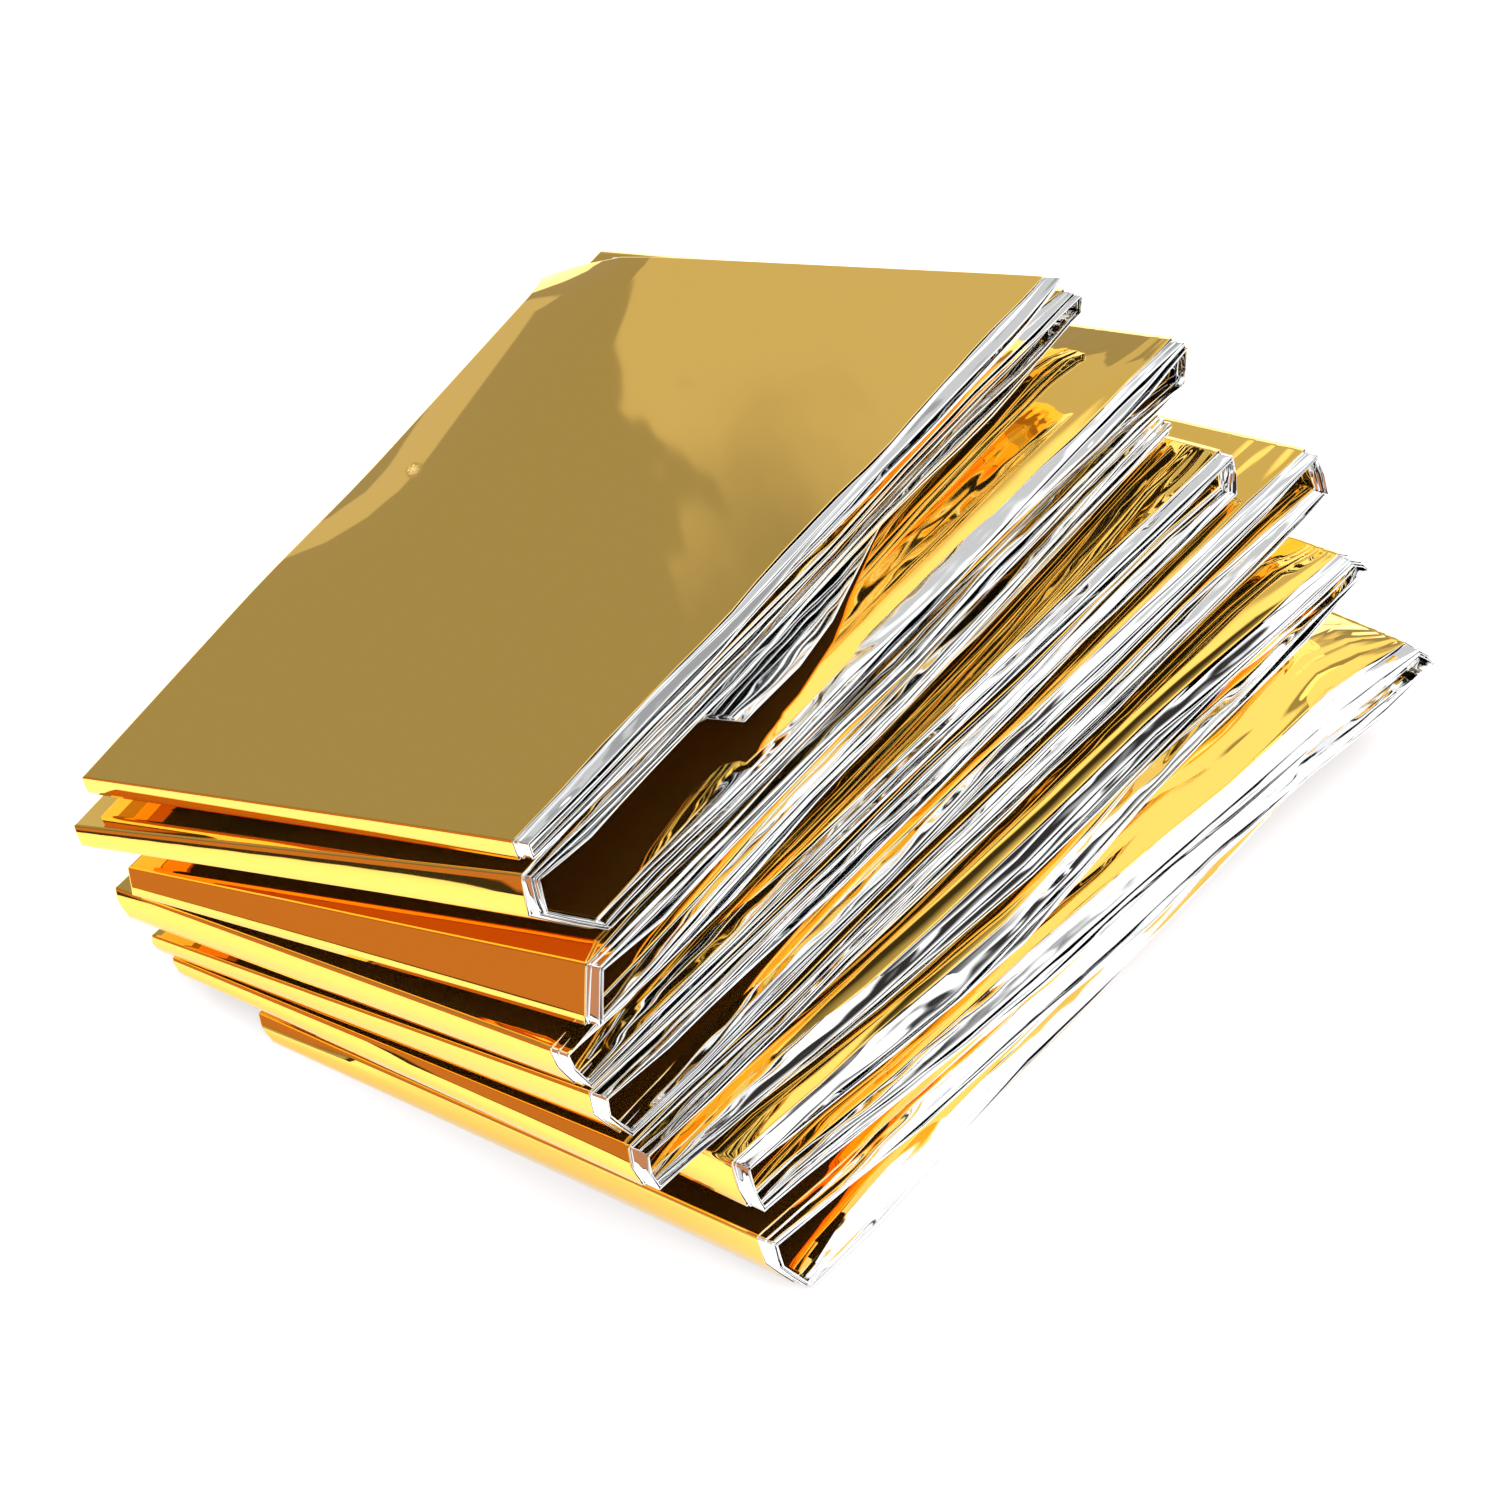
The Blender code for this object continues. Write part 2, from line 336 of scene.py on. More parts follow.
def height_over(corners, x, y):
    """The height of a panel's middle surface, carried on past its edges, over a point of the floor."""
    near, left, far, back = corners
    u = v = 0.5
    for _ in range(HEIGHT_STEPS):
        point = panel_point(corners, u, v)
        du = left.lerp(back, v) - near.lerp(far, v)
        dv = far.lerp(back, u) - near.lerp(left, u)
        area = du.x * dv.y - du.y * dv.x
        dx, dy = x - point.x, y - point.y
        u += (dx * dv.y - dy * dv.x) / area
        v += (dy * du.x - dx * du.y) / area
    return panel_point(corners, u, v).z


def clear_height(corner, below):
    """The least height of a corner that keeps the pitch, square to the panel below it."""
    here = height_over(below, corner.x, corner.y)
    slope_x = height_over(below, corner.x + 1, corner.y) - here
    slope_y = height_over(below, corner.x, corner.y + 1) - here
    return here + PANEL_PITCH * math.sqrt(1 + slope_x ** 2 + slope_y ** 2)


def stacked_corners(sizes):
    """Every panel's corners, each panel lifted where it would press into the one below it."""
    width, stretch = sizes.panel_width(), sizes.sheet_length / MM / SHEET_LENGTH
    stack = []
    for values in reversed(PANELS):
        row = dict(zip(PANEL_COLUMNS, values))
        row["length"] *= stretch
        row["left_length"] *= stretch
        corners = panel_corners(row, width)
        if stack:
            for key, corner in zip(CORNER_HEIGHTS, corners):
                row[key] = max(row[key], clear_height(corner, stack[-1]))
            corners = panel_corners(row, width)
        stack.append(corners)
    return stack[::-1]


def bow(index, u, v):
    """How far a panel bows outwards and sags at a place across and a fraction of its length."""
    share = (1 - u) * math.exp(-((v - BOW_MIDDLE) / BOW_REACH) ** 2)
    return [amount * share for amount in BOWED_PANELS.get(index, (0.0, 0.0))]


def room_at(stack, index, u, v):
    """The clear distances, square to a panel, from its middle up and down to its neighbours' middles."""
    point = panel_point(stack[index], u, v)
    rooms = []
    for other in (index - 1, index + 1):
        if 0 <= other < len(stack):
            here = height_over(stack[other], point.x, point.y)
            slope_x = height_over(stack[other], point.x + 1, point.y) - here
            slope_y = height_over(stack[other], point.x, point.y + 1) - here
            sag = bow(index, u, v)[1] - bow(other, u, v)[1]
            rooms.append(abs(point.z - here - sag) / math.sqrt(1 + slope_x ** 2 + slope_y ** 2))
        else:
            rooms.append(PANEL_PITCH)
    return rooms


def ply_layout():
    """The columns of the film from its first cut edge to the other: ply, place across and turn angle."""
    columns = []
    for ply in range(PLIES):
        outer = ply in (0, PLIES - 1)
        places = OUTER_PLACES if outer else INNER_PLACES
        opens_first = ply % 2 == 0
        for place in places if opens_first else places[::-1]:
            columns.append((ply, place, -1.0))
        if ply < PLIES - 1:
            steps = CLOSED_TURN_STEPS if opens_first else OPEN_TURN_STEPS
            for step in range(1, steps):
                columns.append((ply, 1.0 if opens_first else 0.0, math.pi * step / steps))
    return columns


def even_up(edge, inner, other):
    """Carry a panel's edge on along the panel until the fold leans no further than it may."""
    outward = unit(edge - inner)
    opening = np.linalg.norm(other - edge, axis=1, keepdims=True)
    allowed = FOLD_LEAN * np.maximum(0.0, opening - TIGHT_OPENING)
    short = np.sum((other - edge) * outward, axis=1, keepdims=True) - allowed
    return edge + outward * np.maximum(0.0, short)


def fold_lines(upper, lower, upper_inner, lower_inner, crease):
    """The stations of one turn between the edge of a panel and the edge of the next one down.

    Both edges are creased sharp. A near fold has a third crease between them, and a back fold only swells.
    """
    opening = np.linalg.norm(upper - lower, axis=1, keepdims=True)
    reach = FOLD_REACH * PANEL_PITCH + WIDE_FOLD_REACH * np.maximum(0.0, opening - PANEL_PITCH)
    upper_out, lower_out = unit(upper - upper_inner), unit(lower - lower_inner)
    top, bottom = upper + upper_out * reach, lower + lower_out * reach
    lines = [top - upper_out * CREASE_WIDTH, top]
    place, stand, swell = crease or BACK_SWELL
    shares = (FOLD_EDGE, place / 2, place, (1 + place) / 2, 1 - FOLD_EDGE) if crease else (place,)
    for t in shares:
        bulge = stand * min(t / place, (1 - t) / (1 - place)) + swell * t * (1 - t)
        lines.append(top * (1 - t) + bottom * t + upper_out * opening * bulge)
    return lines + [bottom, bottom - lower_out * CREASE_WIDTH]


def shape_top(line, places, v, width, length):
    """Curl down the top panel's closed-side margin, and bend down its corner at the back."""
    curl = np.maximum(0.0, (places - 1 + CURL_WIDTH) / CURL_WIDTH) ** 2
    line[:, 2] -= curl * CURL_DROP * ramp(v, CURL_START, CURL_FULL)
    bent = np.maximum(0.0, 1 - width * (1 - places) / BENT_CORNER_WIDTH) ** BENT_CORNER_POWER
    bent = bent * max(0.0, 1 - (1 - v) * length / BENT_CORNER_WIDTH) ** BENT_CORNER_POWER
    return line - bent[:, None] * np.array((BENT_CORNER_SPREAD, BENT_CORNER_LENGTH, BENT_CORNER_DROP))


def smooth(value):
    value = min(max(value, 0.0), 1.0)
    return value * value * (3 - 2 * value)


def ramp(value, low, high):
    return smooth((value - low) / (high - low))


def half_depths(stack, index, v, places, spread):
    """How far a panel's plies spread above and below its middle at a fraction v of its length.

    After the two depths come the two billows, the free gap on each side that the outer plies lift into.
    """
    near, _, far, _ = stack[index]
    length = (far - near).length
    loosen = smooth(v * length / TIGHT_LENGTHS[index]) * smooth((1 - v) * length / LOOSE_FROM_BACK)
    open_rooms = room_at(stack, index, 0.0, v)
    closed_rooms = room_at(stack, index, 1.0, v)
    swell = FOLD_THICKNESS + (spread - FOLD_THICKNESS) * loosen - CLOSED_THICKNESS
    billowing = ramp(v, BILLOW_START, BILLOW_FULL) * loosen
    if index == HANGING_PANEL + 1:
        billowing = smooth((v - RUFFLE_START) / FLAP_STEP) * smooth((1 - v) * length / LOOSE_FROM_BACK)
        shape = np.interp(places, INNER_PLACES, RUFFLE_SHARES)
        middle, reach, ridge = RUFFLE_RIDGE
    else:
        shape = np.interp(places, BILLOW_PLACES, BILLOW_SHARES)
        middle, reach, ridge = BILLOW_RIDGE
    crest = np.exp(-((places - middle) / reach) ** 2) * ridge
    depths, billows = [], []
    for open_room, closed_room, flare in zip(open_rooms, closed_rooms, (FLARE_ABOVE, FLARE_BELOW)):
        room = THICKNESS_SHARE * (open_room + (closed_room - open_room) * np.array(INNER_PLACES))
        depth = np.minimum((CLOSED_THICKNESS + swell * np.array(flare)) / 2, room / 2)
        depth, room = np.interp(places, INNER_PLACES, depth), np.interp(places, INNER_PLACES, room)
        free = np.maximum(0.0, room - 2 * depth) * billowing
        depths.append(depth)
        billows.append((free * shape, free * crest))
    return depths, billows


def station_shares(index):
    """Where the mesh lines cross a panel, in shares of its length from where the strip enters it.

    They lie closer towards its ends, and one lies right beside each thing that starts or stops sharply.
    """
    count = PANEL_STATIONS[index]
    shares = [0.5 * i / (count - 1) + 0.25 * (1 - math.cos(math.pi * i / (count - 1))) for i in range(count)]
    if index == 0:
        shares.append(END_STATION)
    if index == len(PANELS) - 1:
        shares.append(1 - END_STATION)
    if index == HANGING_PANEL:
        shares += [1 - FLAP_START, 1 - FLAP_START - FLAP_STEP]
    if index == HANGING_PANEL + 1:
        shares += [RUFFLE_START, RUFFLE_START + FLAP_STEP]
    return sorted(shares)


def straighten(line, places):
    """A line across the strip, made straight between the places at which the inner plies can bend."""
    knots = [int(np.argmax(places == place)) for place in INNER_PLACES]
    return np.stack([np.interp(places, INNER_PLACES, line[knots, axis]) for axis in range(3)], axis=1)


def strip_middle(stack, places, sizes):
    """The strip's middle surface at the given places across, and how far its plies spread to each side.

    The sides are the first ply's and the last ply's; the first ply is on top in every other panel.
    """
    width, spread = sizes.panel_width(), sizes.pleat_spread / MM
    lines, first_side, last_side, first_billow, last_billow, marks = [], [], [], [], [], []
    for index, corners in enumerate(stack):
        near, left, far, back = (np.array(corner) for corner in corners)
        start = near + (left - near) * places[:, None]
        end = far + (back - far) * places[:, None]
        trim = EDGE_TRIM / np.linalg.norm(far - near)
        shares = station_shares(index)
        panel, first, last, lift_first, lift_last, stations = [], [], [], [], [], []
        for t in shares:
            v = trim + (1 - 2 * trim) * (t if index % 2 else 1 - t)
            line = start + (end - start) * v
            outwards, down = bow(index, places, v)
            line[:, 0] += outwards
            line[:, 2] -= down
            if index == 0:
                line = shape_top(line, places, v, width, np.linalg.norm(far - near))
            panel.append(line)
            stations.append((index, v))
            (above, below), (lift, sag) = half_depths(stack, index, v, places, spread)
            below_share = 0.0 if index == HANGING_PANEL else BILLOW_BELOW
            above_share = 1.0 if index == HANGING_PANEL + 1 else BILLOW_ABOVE
            lift, sag = np.array(lift) * above_share, np.array(sag) * below_share
            first.append(below if index % 2 else above)
            last.append(above if index % 2 else below)
            lift_first.append(sag if index % 2 else lift)
            lift_last.append(lift if index % 2 else sag)
        if index:
            upper, lower = lines[-1], panel[0]
            lines[-1] = straighten(even_up(upper, lines[-2], lower), places)
            panel[0] = straighten(even_up(lower, panel[1], upper), places)
            crease = NEAR_CREASES[index // 2] if index % 2 else None
            turn = fold_lines(lines[-1], panel[0], lines[-2], panel[1], crease)
            limit = 0.5 * FOLD_SHARE * np.linalg.norm(lines[-1] - panel[0], axis=1)
            inner, outer = (last_side, first_side) if index % 2 else (first_side, last_side)
            inner_new, outer_new = (last, first) if index % 2 else (first, last)
            inner[-1] = np.minimum(inner[-1], limit)
            inner_new[0] = np.minimum(inner_new[0], limit)
            inner_start, outer_start = inner[-1], outer[-1]
            for step, line in enumerate(turn):
                t = (step + 1) / (len(turn) + 1)
                lines.append(straighten(line, places))
                inner.append(inner_start * (1 - t) + inner_new[0] * t)
                outer.append(outer_start * (1 - t) + outer_new[0] * t)
                first_billow.append(np.zeros((2, len(places))))
                last_billow.append(np.zeros((2, len(places))))
                marks.append((index, FOLD_MARK))
        lines += panel
        first_side += first
        last_side += last
        first_billow += lift_first
        last_billow += lift_last
        marks += stations
    sides = np.array(first_side), np.array(last_side)
    return np.array(lines), sides, (np.array(first_billow), np.array(last_billow)), marks


def gap_shares(along):
    """How the strip's thickness is shared among the gaps between plies, station by station."""
    shares = []
    for gap in range(1, PLIES):
        slot = gap % 2 == 1
        share = TIGHT_SLOT_SHARE if slot else TURN_GAP_SHARE
        if slot and gap % 4 == 1:
            share = LOOSE_SLOT_SHARE + LOOSE_SLOT_SWING * wave(along, LOOSE_SLOT_PITCH, SLOT_SEED + gap)
        shares.append(np.maximum(LEAST_SHARE, share + GAP_SWING * wave(along, GAP_PITCH, GAP_SEED + gap)))
    shares = np.array(shares)
    levels = np.cumsum(shares / shares.sum(axis=0), axis=0)
    return np.vstack([np.zeros_like(along), levels])


def ply_height(ply, levels, first, last):
    """A ply's height over the strip's middle: evenly spaced where squeezed, unevenly where loose."""
    squeezed = (OUTER_GAP + (ply - 1) * INNER_GAP) if ply else 0.0
    squeezed += OUTER_GAP - INNER_GAP if ply == PLIES - 1 else 0.0
    squeezed = squeezed / CLOSED_THICKNESS
    tight = np.minimum(first, CLOSED_THICKNESS / 2) + np.minimum(last, CLOSED_THICKNESS / 2)
    loose = first + last - tight
    return first - squeezed * tight - levels[ply] * loose


def billow_height(ply, index, billows):
    """How far a ply lifts off the strip towards the wedge above it, or sags towards the one below."""
    last = PLIES - 1 - ply
    first_lift = billows[0][:, 0, index] * math.exp(-ply / BILLOW_PLIES)
    last_lift = billows[1][:, 0, index] * math.exp(-last / BILLOW_PLIES)
    if ply == 0:
        first_lift = first_lift + billows[0][:, 1, index]
    if last == 0:
        last_lift = last_lift + billows[1][:, 1, index]
    return first_lift - last_lift


def film_grid(sizes):
    """Every point of the pleated film in millimetres, with its columns and its distance along."""
    columns = ply_layout()
    places = np.array([column[1] for column in columns])
    width = sizes.panel_width()
    middle, sides, billows, marks = strip_middle(stacked_corners(sizes), places, sizes)
    flap = np.array([smooth((v - FLAP_START) / FLAP_STEP) * smooth((FLAP_END - v) / FLAP_TAPER)
                     if index == HANGING_PANEL else 0.0 for index, v in marks])
    open_line, closed_line = middle[:, places == 0.0][:, 0], middle[:, places == 1.0][:, 0]
    across = unit(closed_line - open_line)[:, None, :]
    steps = unit(np.diff(middle, axis=0))
    bisector = (np.concatenate([steps[:1], steps]) + np.concatenate([steps, steps[-1:]])) / 2
    mitre = 1 / np.maximum(MITRE_LIMIT, np.linalg.norm(bisector, axis=-1, keepdims=True))
    normal = unit(np.cross(np.broadcast_to(across, middle.shape), bisector)) * mitre
    steps = np.linalg.norm(np.diff(open_line, axis=0), axis=1)
    along = np.concatenate([[0.0], np.cumsum(steps)])
    levels = gap_shares(along)
    height = np.zeros((len(along), len(columns)))
    outward = np.zeros_like(height)
    for index, (ply, place, angle) in enumerate(columns):
        first, last = sides[0][:, index], sides[1][:, index]
        lift = billow_height(ply, index, billows)
        level = ply_height(ply, levels, first, last) + lift
        stand = 0.0
        if angle >= 0:
            below = ply_height(ply + 1, levels, first, last) + billow_height(ply + 1, index, billows)
            radius = (level - below) / 2
            level = (level + below) / 2 + radius * math.cos(angle)
            stand = radius * math.sin(angle) * (-1 if place == 1.0 else 1)
        if place < 0.5:
            turn = (ply + 1) // 2
            if ply in (0, PLIES - 1):
                edge = HEM_WANDER * wave(along, HEM_PITCH, HEM_SEED + ply) - HEM_SET_BACK
            else:
                edge = PLEAT_WANDER * wave(along, PLEAT_PITCH, PLEAT_SEED + turn)
                edge = PLEAT_STAGGER * STAGGER[turn - 1] + edge
            if ply == PLIES - 1:
                edge = edge + FLAP_WIDTH * flap
                level = level - FLAP_DROP * flap * math.exp(-place * width / FLAP_FADE)
            stand = stand + edge * math.exp(-place * width / EDGE_FADE)
        elif 1 < ply < PLIES - 2:
            stand = stand + CLOSED_SET_BACK * math.exp(-(1 - place) * width / EDGE_FADE)
        height[:, index] = level
        outward[:, index] = stand
    points = middle + normal * height[:, :, None] - across * outward[:, :, None]
    return points - np.array(FRAME_SHIFT), columns, along, marks


def crumple_at(index, v, ply, place):
    """How crumpled the sheet is: at the panels' far ends and over much of the lowest ones."""
    end = CRUMPLED_END * math.exp(-place * CRUMPLED_END_FADE)
    if index == 0 and ply == 0:
        return 0.0
    if v == FOLD_MARK:
        return 0.0 if index % 2 else end
    top = index == CRUMPLED_TOP_PANEL and ply == PLIES - 1
    amount = CRUMPLED_TOP if top else CRUMPLED_PANELS.get(index, 0.0)
    amount = amount * ramp(v, *CRUMPLED_FROM) * math.exp(-place * CRUMPLED_FADE)
    return max(amount, end * ramp(v, *CRUMPLED_END_FROM))


def creased_at(index, v, ply, inward):
    """How creased the sheet is along its pleats: most at the open side, not on the smooth outer faces."""
    if (index == 0 and ply == 0) or (v == FOLD_MARK and ply in (0, PLIES - 1)):
        return 0.0
    return math.exp(-inward / CREASE_FADE)


def film_object(name, sizes):
    """The pleated and folded film as one mesh, with its flat pattern and how creased it is."""
    points, columns, along, marks = film_grid(sizes)
    width = sizes.panel_width()
    stations, count = points.shape[:2]
    low = points[:, :, 2].min()
    points[:, :, 2] -= low
    mesh = bpy.data.meshes.new(name)
    index = np.arange(stations * count).reshape(stations, count)
    quads = np.stack([index[:-1, :-1], index[:-1, 1:], index[1:, 1:], index[1:, :-1]], axis=-1)
    mesh.from_pydata((points.reshape(-1, 3) * MM).tolist(), [], quads.reshape(-1, 4).tolist())
    spans = np.linalg.norm(np.diff(points, axis=1), axis=2).mean(axis=0)
    across = np.concatenate([[0.0], np.cumsum(spans)])
    flat = np.zeros((stations, count, 2))
    flat[:, :, 0] = across[None, :] * MM
    flat[:, :, 1] = along[:, None] * MM
    layer = mesh.uv_layers.new(name="flat")
    corners = np.zeros(len(mesh.loops), dtype=np.int32)
    mesh.loops.foreach_get("vertex_index", corners)
    layer.uv.foreach_set("vector", flat.reshape(-1, 2)[corners].astype(np.float32).ravel())
    edge = np.array([[creased_at(*mark, ply, place * width) for ply, place, _ in columns] for mark in marks])
    near_edge = mesh.attributes.new("near_edge", "FLOAT", "POINT")
    near_edge.data.foreach_set("value", edge.ravel().astype(np.float32))
    crumple = np.array([[crumple_at(*mark, ply, place) for ply, place, _ in columns] for mark in marks])
    crumpled = mesh.attributes.new("crumpled", "FLOAT", "POINT")
    crumpled.data.foreach_set("value", crumple.ravel().astype(np.float32))
    mesh.shade_smooth()
    film = bpy.data.objects.new(name, mesh)
    bpy.context.scene.collection.objects.link(film)
    return film


def node_math(tree, operation, *values):
    """One Math node with numbers or sockets as its inputs; gives its output socket."""
    node = tree.nodes.new("ShaderNodeMath")
    node.operation = operation
    for socket, value in zip(node.inputs, values):
        if isinstance(value, (int, float)):
            socket.default_value = value
        else:
            tree.links.new(value, socket)
    return node.outputs[0]


def node_step(tree, value, low, high, start=0.0, end=1.0):
    """A smooth step of a socket's value from start to end between low and high."""
    node = tree.nodes.new("ShaderNodeMapRange")
    node.interpolation_type = "SMOOTHSTEP"
    tree.links.new(value, node.inputs["Value"])
    for name, number in (("From Min", low), ("From Max", high), ("To Min", start), ("To Max", end)):
        node.inputs[name].default_value = number
    return node.outputs["Result"]


def creased(tree, grain):
    """Sharp creases where a smooth noise passes through its middle."""
    return node_math(tree, "ABSOLUTE", node_math(tree, "SUBTRACT", grain.outputs["Fac"], 0.5))


def film_bump(tree, size, distance, mask, previous, detail, sharp=False):
    """Relief that follows the flat sheet: noise of the given counts per metre across and along."""
    place = tree.nodes.new("ShaderNodeUVMap")
    place.uv_map = "flat"
    stretch = tree.nodes.new("ShaderNodeMapping")
    stretch.inputs["Scale"].default_value = (size[0], size[1], 1.0)
    tree.links.new(place.outputs["UV"], stretch.inputs["Vector"])
    grain = tree.nodes.new("ShaderNodeTexNoise")
    grain.inputs["Scale"].default_value = 1.0
    grain.inputs["Detail"].default_value = detail
    tree.links.new(stretch.outputs["Vector"], grain.inputs["Vector"])
    bump = tree.nodes.new("ShaderNodeBump")
    bump.inputs["Distance"].default_value = distance * MM
    tree.links.new(creased(tree, grain) if sharp else grain.outputs["Fac"], bump.inputs["Height"])
    if mask is not None:
        tree.links.new(mask, bump.inputs["Strength"])
    if previous is not None:
        tree.links.new(previous, bump.inputs["Normal"])
    return bump.outputs["Normal"]


def pinch_marks(tree, normal):
    """Small pinched dents in the top panel, each a pair of sharp little ridges."""
    for across, along, width, length, depth in PINCHES:
        place = tree.nodes.new("ShaderNodeUVMap")
        place.uv_map = "flat"
        move = tree.nodes.new("ShaderNodeMapping")
        move.vector_type = "TEXTURE"
        move.inputs["Location"].default_value = (across * MM, along * MM, 0.0)
        move.inputs["Rotation"].default_value = (0.0, 0.0, math.radians(PINCH_TURN))
        move.inputs["Scale"].default_value = (width * MM, length * MM, 1.0)
        tree.links.new(place.outputs["UV"], move.inputs["Vector"])
        away = tree.nodes.new("ShaderNodeVectorMath")
        away.operation = "LENGTH"
        tree.links.new(move.outputs["Vector"], away.inputs[0])
        grain = tree.nodes.new("ShaderNodeTexNoise")
        grain.inputs["Scale"].default_value = PINCH_GRAIN
        tree.links.new(move.outputs["Vector"], grain.inputs["Vector"])
        dent = node_step(tree, away.outputs["Value"], 0.0, 1.0, 1.0, 0.0)
        bump = tree.nodes.new("ShaderNodeBump")
        bump.inputs["Distance"].default_value = depth * MM
        tree.links.new(node_math(tree, "MULTIPLY", dent, creased(tree, grain)), bump.inputs["Height"])
        tree.links.new(normal, bump.inputs["Normal"])
        normal = bump.outputs["Normal"]
    return normal


def film_material(name, colour, metal, roughness, streak, crinkle):
    """One face of the film: polished metal with streaks and crinkles that grow towards the open side."""
    material = bpy.data.materials.new(name)
    material.use_nodes = True
    tree = material.node_tree
    shader = tree.nodes["Principled BSDF"]
    shader.inputs["Base Color"].default_value = (*colour, 1.0)
    shader.inputs["Metallic"].default_value = metal
    shader.inputs["Roughness"].default_value = roughness
    edge = tree.nodes.new("ShaderNodeAttribute")
    edge.attribute_name = "near_edge"
    near = edge.outputs["Fac"]
    soft = film_bump(tree, *SOFT_WAVES, None, None, 0.0)
    streaks = film_bump(tree, (streak[0], STREAKS_ALONG), streak[1], near, soft, 0.0)
    crinkles = film_bump(tree, CRINKLE_COUNTS, crinkle, node_math(tree, "POWER", near, 2.0), streaks, 1.0)
    crush = tree.nodes.new("ShaderNodeAttribute")
    crush.attribute_name = "crumpled"
    crumples = film_bump(tree, *CRUMPLES, crush.outputs["Fac"], crinkles, 1.0, sharp=True)
    tree.links.new(pinch_marks(tree, crumples), shader.inputs["Normal"])
    return material


def between(tree, value, start=None, end=None):
    """One where a socket's value lies between two soft edges, each the pair of values it fades between."""
    inside = node_step(tree, value, *start) if start else None
    if end:
        before = node_step(tree, value, *end, 1.0, 0.0)
        inside = node_math(tree, "MULTIPLY", inside, before) if start else before
    return inside


def back_wall_light(tree, place, turn, rise):
    """The wall behind: a ragged window, a bright shelf below it on one side, and a glow above."""
    ragged = tree.nodes.new("ShaderNodeTexNoise")
    ragged.inputs["Scale"].default_value = RAGGED_GRAIN
    ragged.inputs["Detail"].default_value = RAGGED_DETAIL
    tree.links.new(place.outputs["Generated"], ragged.inputs["Vector"])
    shake = node_math(tree, "SUBTRACT", ragged.outputs["Fac"], 0.5)
    shake = node_math(tree, "MULTIPLY", shake, RAGGED_REACH)
    window = node_math(tree, "MULTIPLY", between(tree, node_math(tree, "ADD", turn, shake), WINDOW_LEFT),
                       between(tree, node_math(tree, "ADD", rise, shake), WINDOW_SILL))
    window = node_math(tree, "MULTIPLY", window, between(tree, turn, None, WINDOW_RIGHT))
    wall = node_math(tree, "ADD", BACK_WALL, node_math(tree, "MULTIPLY", window, WINDOW))
    shelf = node_math(tree, "MULTIPLY", between(tree, turn, None, SHELF_END),
                      between(tree, rise, *SHELF_RISE))
    wall = node_math(tree, "MAXIMUM", wall, node_math(tree, "MULTIPLY", shelf, SHELF))
    glow = node_math(tree, "MULTIPLY", between(tree, rise, GLOW_FROM), GLOW)
    return node_math(tree, "MULTIPLY", node_math(tree, "ADD", wall, glow),
                     between(tree, rise, None, BACK_WALL_TOP))


def studio_light(tree):
    """Brightness of the room by direction: walls with a window and a warm card, and dark overhead."""
    place = tree.nodes.new("ShaderNodeTexCoord")
    split = tree.nodes.new("ShaderNodeSeparateXYZ")
    tree.links.new(place.outputs["Generated"], split.inputs[0])
    x, y, z = split.outputs
    rise = node_math(tree, "DEGREES", node_math(tree, "ARCSINE", z))
    turn = node_math(tree, "DEGREES", node_math(tree, "ARCTAN2", x, y))
    back = node_math(tree, "MULTIPLY", back_wall_light(tree, place, turn, rise), between(tree, y, BACK_FROM))
    side = node_math(tree, "MULTIPLY", between(tree, x, SIDE_FROM), between(tree, rise, *SIDE_RISE))
    side = node_math(tree, "MULTIPLY", side, SIDE_WALL)
    low = between(tree, rise, *FRONT_RISE)
    card = node_math(tree, "MULTIPLY", between(tree, turn, *CARD_TURN), low)
    front = node_math(tree, "ADD", between(tree, turn, None, CARD_TURN[0]), between(tree, turn, FRONT_FROM))
    front = node_math(tree, "MULTIPLY", node_math(tree, "MULTIPLY", front, low), FRONT_WALL)
    total = node_math(tree, "MAXIMUM", node_math(tree, "MAXIMUM", back, side), front)
    mixed = tree.nodes.new("ShaderNodeCombineColor")
    for socket, dim, warm in zip(mixed.inputs, DARK_ROOM, FRONT_CARD):
        level = node_math(tree, "MAXIMUM", total, node_math(tree, "MULTIPLY", card, warm))
        tree.links.new(node_math(tree, "MAXIMUM", level, dim), socket)
    return mixed.outputs[0]


def add_floor(paper_colour):
    """The pale floor that the blanket lies on."""
    bpy.ops.object.select_all(action="DESELECT")
    bpy.ops.mesh.primitive_plane_add(size=FLOOR_SIZE, location=(0.0, 0.0, 0.0))
    floor = bpy.context.object
    floor.name = floor.data.name = "floor"
    paper = bpy.data.materials.new("floor_paper")
    paper.use_nodes = True
    shader = paper.node_tree.nodes["Principled BSDF"]
    shader.inputs["Base Color"].default_value = (*paper_colour, 1.0)
    shader.inputs["Roughness"].default_value = FLOOR_ROUGHNESS
    shader.inputs["Specular IOR Level"].default_value = 0.0
    floor.data.materials.append(paper)


def add_lights(power):
    """The room that the film mirrors, and a softbox overhead that lights the floor."""
    world = bpy.data.worlds.new("studio")
    bpy.context.scene.world = world
    world.use_nodes = True
    tree = world.node_tree
    tree.links.new(studio_light(tree), tree.nodes["Background"].inputs["Color"])
    tree.nodes["Background"].inputs["Strength"].default_value = 1.0
    bpy.ops.object.light_add(type="AREA", location=(0.0, 0.0, SOFTBOX_HEIGHT))
    softbox = bpy.context.object
    softbox.name = softbox.data.name = "overhead_softbox"
    softbox.data.shape = "SQUARE"
    softbox.data.size = SOFTBOX_SIZE
    softbox.data.energy = power
    softbox.data.cycles.use_multiple_importance_sampling = False
    softbox.visible_glossy = False
    softbox.visible_camera = False


